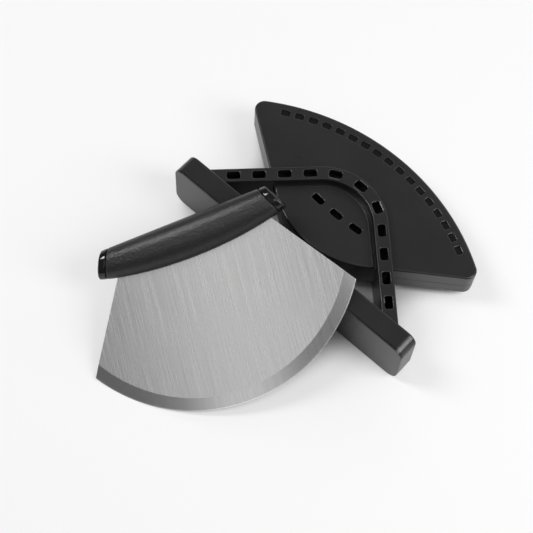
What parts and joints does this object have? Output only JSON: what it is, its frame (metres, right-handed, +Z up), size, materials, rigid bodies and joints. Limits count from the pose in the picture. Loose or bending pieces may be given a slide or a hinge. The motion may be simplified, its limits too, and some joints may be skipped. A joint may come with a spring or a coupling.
{
  "type": "pizza cutter",
  "caption": "Rocking pizza cutter, a ground steel fan blade under a bowed grip, leaning on the foot of its black slotted slice-shaped holder.",
  "frame": {"origin": "on the table, under the middle of the pair's footprint", "axes": "+X along the holder's foot, +Y from the foot towards the holder's outer rim, +Z up from the table"},
  "size_m": [0.1896, 0.2366, 0.067],
  "materials": {
    "holder_plastic": "fine satin moulded black plastic",
    "blade_steel": "brushed along its height, darker ground bevel along the arc",
    "grip_skin": "soft black skin with a fine leather grain",
    "cap_gloss": "polished black",
    "core_plastic": "plain moulded black, hidden",
    "fastener_steel": "plain steel, hidden"
  },
  "bodies": {
    "holder": {"fan_front": "holder_plastic", "fan_back": "holder_plastic", "arch_front": "holder_plastic", "arch_back": "holder_plastic", "foot_body": "holder_plastic", "foot_cover": "holder_plastic", "leg_screw_front_left": "fastener_steel", "leg_screw_front_right": "fastener_steel", "leg_screw_back_left": "fastener_steel", "leg_screw_back_right": "fastener_steel"},
    "cutter": {"blade": "blade_steel", "grip_core_front": "core_plastic", "grip_core_back": "core_plastic", "grip_sleeve": "grip_skin", "end_cap_left": "cap_gloss", "end_cap_right": "cap_gloss", "tang_pin_left": "fastener_steel", "tang_pin_right": "fastener_steel"}
  },
  "joints": [
    {"name": "cutter_lift", "type": "slide", "parent": "holder", "child": "cutter", "axis": [0, 0, 1], "range_m": [0, 0.15]}
  ]
}
